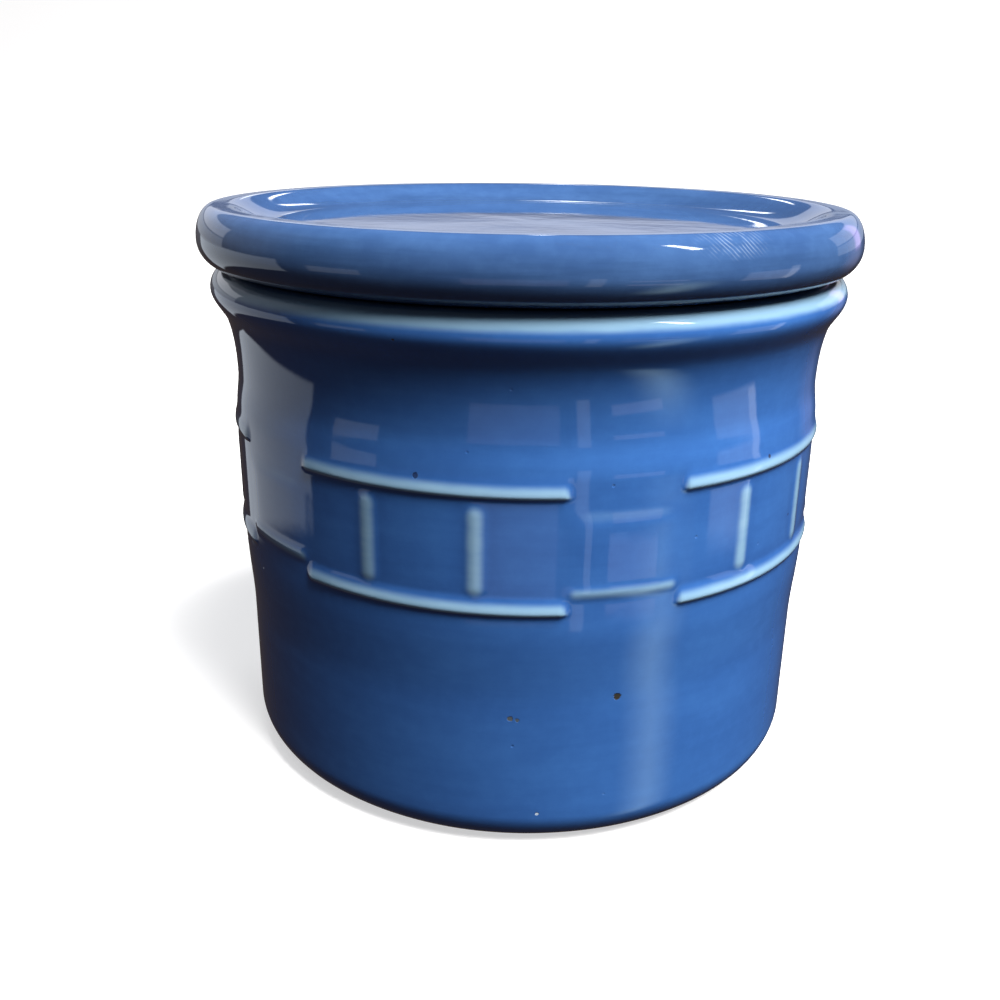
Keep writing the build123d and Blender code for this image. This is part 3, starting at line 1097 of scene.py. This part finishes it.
@dataclass
class Studio:
    """The pale floor and backdrop, the soft lights, the world and the camera."""

    camera_back: float = 191.3 * MM
    camera_up: float = 111.4 * MM
    yaw: float = -1.32
    pitch: float = 20.19
    roll: float = 0.69
    lens: float = 37.76
    floor_half: float = 1.6
    sweep_start: float = 0.9
    sweep_radius: float = 0.7
    sweep_top: float = 2.2
    sweep_steps: int = 16
    room: Colour = (0.060, 0.046, 0.044)
    ambient: Colour = (0.084, 0.076, 0.088)
    glimpses: tuple[Glimpse, ...] = (
        Glimpse("wall_behind", 180, 10.5, 60, 5.3, 0.5, (0.66, 0.68, 0.73)),
        Glimpse("shelf_behind", 180, 1.0, 60, 3.4, 0.3, (0.38, 0.41, 0.46)),
        Glimpse("window_behind", 179, 25.5, 0.5, 2.2, 1.0, (14.0, 14.3, 14.5)),
        Glimpse("left_window", -167.5, 12.5, 3.0, 1.0, 0.8, (2.4, 2.5, 2.55)),
        Glimpse("pale_cloth", -116, -12, 28, 9.5, 0.8, (0.68, 0.76, 0.86)),
        Glimpse("wall_left", -122, 20, 34, 22, 14, (0.26, 0.29, 0.33)),
        Glimpse("table_glare", 56, -36, 7, 14, 9, (1.3, 1.9, 2.1)),
        Glimpse("window_pane", 65, 45, 2.6, 8, 0.8, (26.0, 26.0, 25.0)),
        Glimpse("low_sill", 43, -24, 10, 2, 0.5, (0.70, 0.62, 0.78)),
        Glimpse("high_sill", 43, -14, 10, 1.6, 0.5, (0.66, 0.60, 0.74)),
        Glimpse("post", 22, -18, 2.5, 11, 0.5, (0.75, 0.78, 0.86)),
        Glimpse("doorway", 86, -14, 11, 8, 1.0, (0.75, 0.78, 0.92)),
        Glimpse("curtain", 95, -12, 2, 9, 0.6, (0.9, 0.95, 1.0)),
        Glimpse("cupboard", -4, -18, 17, 9, 0.6, (0.34, 0.32, 0.46)),
        Glimpse("shelf", -65, -10, 10, 5, 0.6, (0.50, 0.52, 0.58)),
        Glimpse("purple_cloth", 141, 6, 4, 9, 2, (0.80, 0.50, 1.05)),
        Glimpse("wall_right", 138, 0, 8, 14, 5, (0.20, 0.18, 0.27)),
    )

    def camera(self) -> bpy.types.Object:
        """Places the camera in front of the crock, looking a little down.

        Returns:
            The camera, which the scene now looks through.
        """
        data = bpy.data.cameras.new("camera")
        data.lens = self.lens
        data.sensor_width = 36.0
        data.clip_start = 0.01
        yaw, pitch, roll = (math.radians(v) for v in (self.yaw, self.pitch, self.roll))
        ahead = Vector((math.sin(yaw) * math.cos(pitch), math.cos(yaw) * math.cos(pitch), -math.sin(pitch)))
        level = Vector((math.cos(yaw), -math.sin(yaw), 0.0))
        over = level.cross(ahead)
        right = level * math.cos(roll) + over * math.sin(roll)
        up = over * math.cos(roll) - level * math.sin(roll)
        turn = Matrix((right, up, -ahead)).transposed()
        made = put_in_scene("camera", data)
        made.matrix_world = Matrix.Translation((0.0, -self.camera_back, self.camera_up)) @ turn.to_4x4()
        bpy.context.scene.camera = made
        return made

    def floor(self) -> bpy.types.Object:
        """Makes a pale floor that sweeps up behind the crock and throws no light back on it.

        Returns:
            The floor.
        """
        section = [(-self.floor_half, 0.0), (self.sweep_start, 0.0)]
        for number in range(1, self.sweep_steps + 1):
            turn = math.radians(90 * number / self.sweep_steps)
            section.append((self.sweep_start + self.sweep_radius * math.sin(turn),
                            self.sweep_radius * (1 - math.cos(turn))))
        section.append((self.sweep_start + self.sweep_radius, self.sweep_top))
        points = [(side * self.floor_half * 2, y, z) for y, z in section for side in (-1, 1)]
        faces = [(2 * i, 2 * i + 1, 2 * i + 3, 2 * i + 2) for i in range(len(section) - 1)]
        mesh = bpy.data.meshes.new("floor")
        mesh.from_pydata(points, [], faces)
        mesh.polygons.foreach_set("use_smooth", [True] * len(faces))
        mesh.materials.append(self._paper())
        made = put_in_scene("floor", mesh)
        made.visible_glossy = False
        made.visible_diffuse = False
        return made

    @staticmethod
    def _paper() -> bpy.types.Material:
        """Makes matt backdrop paper, clear from below so that the underside can be looked at.

        Returns:
            The material.
        """
        made = bpy.data.materials.new("backdrop_paper")
        w = blank_nodes(made)
        place = w.add("TexCoord").outputs["Object"]
        tint = w.mix(w.noise(place, 900.0), (0.50, 0.50, 0.51), (0.54, 0.54, 0.54))
        seen = w.add("BsdfDiffuse", {"Color": tint})
        glow = w.add("Emission", {"Color": (1.0, 1.0, 1.0), "Strength": 0.56})
        both = w.add("AddShader", {0: seen.outputs[0], 1: glow.outputs[0]})
        dim = w.add("BsdfDiffuse", {"Color": (0.10, 0.10, 0.11)})
        ray = w.add("LightPath").outputs["Is Camera Ray"]
        front = w.add("MixShader", {0: ray, 1: dim.outputs[0], 2: both.outputs[0]})
        back = w.add("NewGeometry").outputs["Backfacing"]
        clear = w.add("BsdfTransparent")
        whole = w.add("MixShader", {0: back, 1: front.outputs[0], 2: clear.outputs[0]})
        w.feed(w.add("OutputMaterial").inputs[0], whole.outputs[0])
        return made

    def world(self) -> None:
        """The room: pale to the camera, dim to matt surfaces, and furnished for gloss to mirror."""
        made = bpy.data.worlds.new("room")
        bpy.context.scene.world = made
        w = blank_nodes(made)
        spot = w.add("SeparateXYZ", {0: w.add("TexCoord").outputs["Generated"]})
        azimuth = w.math("ARCTAN2", spot.outputs[0], w.times(spot.outputs[1], -1.0))
        elevation = w.math("ARCSINE", spot.outputs[2])
        patch = self._patch()
        mirrored: Socket | None = None
        for glimpse in self.glimpses:
            inputs = {"Azimuth": azimuth, "Elevation": elevation, **glimpse.inputs()}
            seen = w.add("Group", inputs, node_tree=patch).outputs[0]
            mirrored = w.vector("ADD", seen, mirrored)
        room = w.vector("ADD", mirrored, self.room)
        shine = w.add("Background", {"Color": room, "Strength": 1.0})
        dim = w.add("Background", {"Color": self.ambient, "Strength": 1.0})
        pale = w.add("Background", {"Color": (0.90, 0.90, 0.90), "Strength": 1.0})
        ray = w.add("LightPath")
        inside = w.add("MixShader", {0: ray.outputs["Is Glossy Ray"], 1: dim.outputs[0], 2: shine.outputs[0]})
        both = w.add("MixShader", {0: ray.outputs["Is Camera Ray"], 1: inside.outputs[0], 2: pale.outputs[0]})
        w.feed(w.add("OutputWorld").inputs[0], both.outputs[0])

    @staticmethod
    def _patch() -> bpy.types.NodeTree:
        """Builds the group for a soft-edged patch of light in the room.

        Returns:
            The group, whose inputs are in radians.
        """
        numbers = ("Azimuth", "Elevation", "Middle", "Height", "Half Width", "Half Height", "Edge")
        inputs = {**{label: (NUMBER, 0.0) for label in numbers}, "Light": (COLOUR, None)}
        w, get, put = new_group("glimpse", "ShaderNodeTree", inputs, {"Light": COLOUR})
        turned = w.math("WRAP", w.minus(get["Azimuth"], get["Middle"]), math.pi, -math.pi)
        lifted = w.minus(get["Elevation"], get["Height"])
        parts = []
        for offset, label in ((turned, "Half Width"), (lifted, "Half Height")):
            low, high = w.minus(get[label], get["Edge"]), w.plus(get[label], get["Edge"])
            parts.append(w.ramp(w.math("ABSOLUTE", offset), low, high, 1.0, 0.0))
        lit = w.add("VectorMath", {0: get["Light"], "Scale": w.times(*parts)}, operation="SCALE").outputs[0]
        w.feed(put["Light"], lit)
        return w.tree

    def lights(self) -> list[bpy.types.Object]:
        """Hangs a high soft window to the right of the front, and weak fill on the other sides.

        Returns:
            The lights.
        """
        boxes = (
            Softbox("high_window", 52.0, 60.0, 1.1, 0.6, 0.6, 57.0, (1.0, 0.985, 0.96)),
            Softbox("back_fill", 165.0, 30.0, 1.2, 0.9, 0.5, 7.0, (0.93, 0.97, 1.0)),
            Softbox("front_fill", -20.0, 68.0, 1.1, 0.6, 0.6, 2.5, (0.95, 0.98, 1.0)),
            Softbox("left_fill", -150.0, 20.0, 1.2, 0.5, 0.5, 0.3, (0.90, 0.93, 1.0)),
        )
        return [box.build() for box in boxes]

    def build(self) -> None:
        """Sets up everything that isn't the object."""
        self.camera()
        self.floor()
        self.world()
        self.lights()
        bpy.context.scene.view_settings.view_transform = "Standard"


def report(piece: bpy.types.Object) -> None:
    """Logs a finished piece's name and size."""
    piece.data.calc_loop_triangles()
    LOG.info("%s: %d triangles, %s mm", piece.name, len(piece.data.loop_triangles),
             [round(v / MM, 2) for v in piece.dimensions])


def main() -> None:
    """Builds the stage, then the pot and the lid."""
    logging.basicConfig(level=logging.INFO, format="%(name)s: %(message)s")
    Studio().build()
    effects = Effects()
    for part in (Crock(), Lid()):
        report(part.build(effects))


if __name__ == "__main__":
    main()
